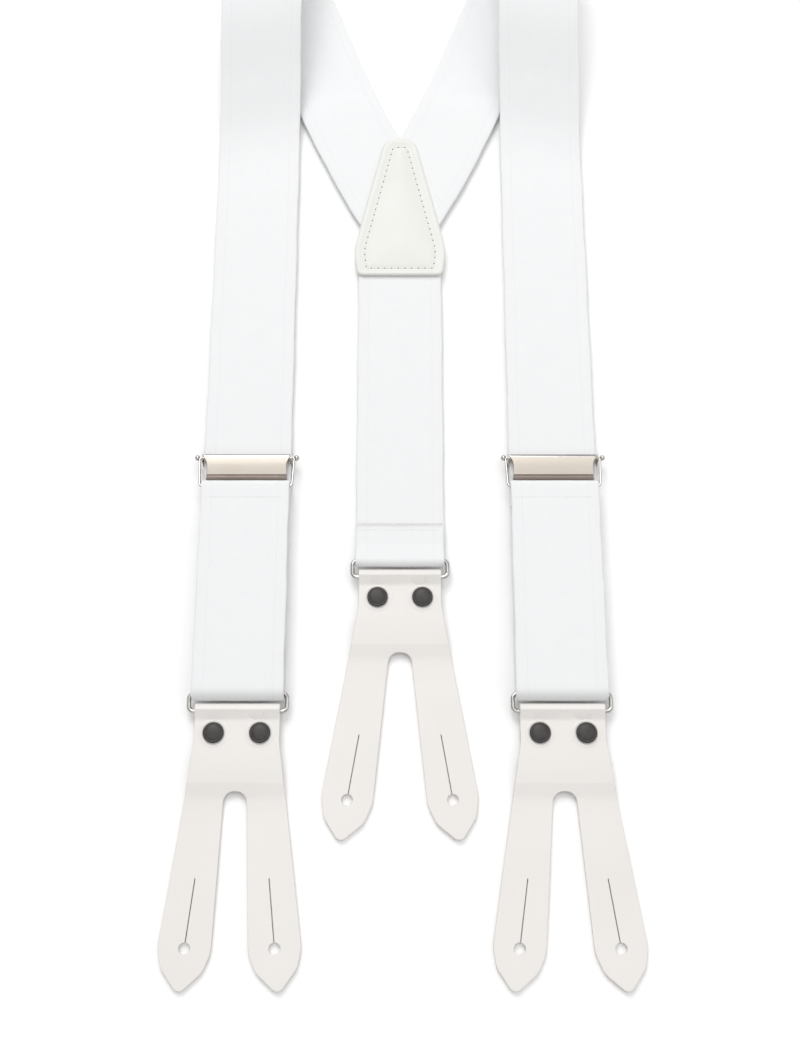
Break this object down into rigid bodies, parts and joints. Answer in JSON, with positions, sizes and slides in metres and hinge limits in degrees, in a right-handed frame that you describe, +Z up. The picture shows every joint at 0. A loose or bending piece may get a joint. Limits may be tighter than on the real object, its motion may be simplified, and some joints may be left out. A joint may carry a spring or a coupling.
{
  "type": "button suspenders",
  "caption": "Y-back button suspenders in white elastic webbing, with clamp adjusters, wire rings and forked leather tabs, laid flat with their shoulder folds standing.",
  "frame": {"origin": "under the middle of the whole laid-out object, on the surface it lies on", "axes": "+Z up from the table, +Y from the leather tabs towards the shoulder folds, +X to the wearer's left as laid, seen from above with the tabs nearest"},
  "size_m": [0.1766, 0.4598, 0.032],
  "materials": {
    "webbing": "woven, matte",
    "tab_leather": "smooth, satin",
    "patch_leather": "smooth, satin, stitched",
    "nickel": "brushed nickel plate",
    "rivet_enamel": "black, semi-gloss"
  },
  "bodies": {
    "harness": {"patch_inner": "patch_leather", "patch_outer": "patch_leather", "shoulder_strap_left": "webbing", "shoulder_strap_right": "webbing", "back_strap": "webbing"},
    "front_left": {"loop_rear_left": "webbing"},
    "loop_left": {"loop_front_left": "webbing"},
    "adjuster_left": {"adjuster_frame_left": "nickel", "adjuster_plate_left": "nickel"},
    "cover_left": {"adjuster_cover_left": "nickel"},
    "front_right": {"loop_rear_right": "webbing"},
    "loop_right": {"loop_front_right": "webbing"},
    "adjuster_right": {"adjuster_frame_right": "nickel", "adjuster_plate_right": "nickel"},
    "cover_right": {"adjuster_cover_right": "nickel"},
    "back_end": {"back_strap_hem": "webbing"},
    "ring_left": {"ring_left": "nickel"},
    "tab_left": {"tab_left": "tab_leather", "rivet_cap_left_a": "rivet_enamel", "rivet_cap_left_b": "rivet_enamel", "rivet_base_left_a": "rivet_enamel", "rivet_base_left_b": "rivet_enamel"},
    "ring_right": {"ring_right": "nickel"},
    "tab_right": {"tab_right": "tab_leather", "rivet_cap_right_a": "rivet_enamel", "rivet_cap_right_b": "rivet_enamel", "rivet_base_right_a": "rivet_enamel", "rivet_base_right_b": "rivet_enamel"},
    "ring_back": {"ring_back": "nickel"},
    "tab_back": {"tab_back": "tab_leather", "rivet_cap_back_a": "rivet_enamel", "rivet_cap_back_b": "rivet_enamel", "rivet_base_back_a": "rivet_enamel", "rivet_base_back_b": "rivet_enamel"}
  },
  "joints": [
    {"name": "stretch_left", "type": "slide", "parent": "harness", "child": "front_left", "axis": [0, -1, 0], "range_m": [0, 0.04], "stiffness_N_per_m": 150},
    {"name": "adjust_left", "type": "slide", "parent": "front_left", "child": "loop_left", "axis": [0, 1, 0], "range_m": [-0.03, 0.05], "deforming": ["loop_rear_left"]},
    {"name": "adjuster_slide_left", "type": "slide", "parent": "loop_left", "child": "adjuster_left", "axis": [0, 1, 0], "range_m": [-0.03, 0.05], "deforming": ["loop_front_left"]},
    {"name": "cover_left_hinge", "type": "hinge", "parent": "adjuster_left", "child": "cover_left", "pos_m": [-0.06251, -0.02536, 0.00545], "axis": [-1, 0, 0], "range_deg": [0, 105]},
    {"name": "stretch_right", "type": "slide", "parent": "harness", "child": "front_right", "axis": [0, -1, 0], "range_m": [0, 0.04], "stiffness_N_per_m": 150},
    {"name": "adjust_right", "type": "slide", "parent": "front_right", "child": "loop_right", "axis": [0, 1, 0], "range_m": [-0.03, 0.05], "deforming": ["loop_rear_right"]},
    {"name": "adjuster_slide_right", "type": "slide", "parent": "loop_right", "child": "adjuster_right", "axis": [0, 1, 0], "range_m": [-0.03, 0.05], "deforming": ["loop_front_right"]},
    {"name": "cover_right_hinge", "type": "hinge", "parent": "adjuster_right", "child": "cover_right", "pos_m": [0.06049, -0.02536, 0.00545], "axis": [-1, 0, 0], "range_deg": [0, 105]},
    {"name": "stretch_back", "type": "slide", "parent": "harness", "child": "back_end", "axis": [0, -1, 0], "range_m": [0, 0.05], "stiffness_N_per_m": 150},
    {"name": "ring_left_hinge", "type": "hinge", "parent": "loop_left", "child": "ring_left", "pos_m": [-0.06251, -0.12046, 0.00495], "axis": [-1, 0, 0], "range_deg": [0, 75]},
    {"name": "tab_left_hinge", "type": "hinge", "parent": "ring_left", "child": "tab_left", "pos_m": [-0.06251, -0.12856, 0.0039], "axis": [-1, 0, 0], "range_deg": [0, 95]},
    {"name": "ring_right_hinge", "type": "hinge", "parent": "loop_right", "child": "ring_right", "pos_m": [0.06049, -0.12046, 0.00495], "axis": [-1, 0, 0], "range_deg": [0, 75]},
    {"name": "tab_right_hinge", "type": "hinge", "parent": "ring_right", "child": "tab_right", "pos_m": [0.06049, -0.12856, 0.0039], "axis": [-1, 0, 0], "range_deg": [0, 95]},
    {"name": "ring_back_hinge", "type": "hinge", "parent": "back_end", "child": "ring_back", "pos_m": [-0.00101, -0.06836, 0.0039], "axis": [-1, 0, 0], "range_deg": [0, 75]},
    {"name": "tab_back_hinge", "type": "hinge", "parent": "ring_back", "child": "tab_back", "pos_m": [-0.00101, -0.07516, 0.0039], "axis": [-1, 0, 0], "range_deg": [0, 95]}
  ],
  "couplings": [
    {"joint": "adjuster_slide_left", "follows": "adjust_left", "ratio": 1},
    {"joint": "adjuster_slide_right", "follows": "adjust_right", "ratio": 1}
  ]
}
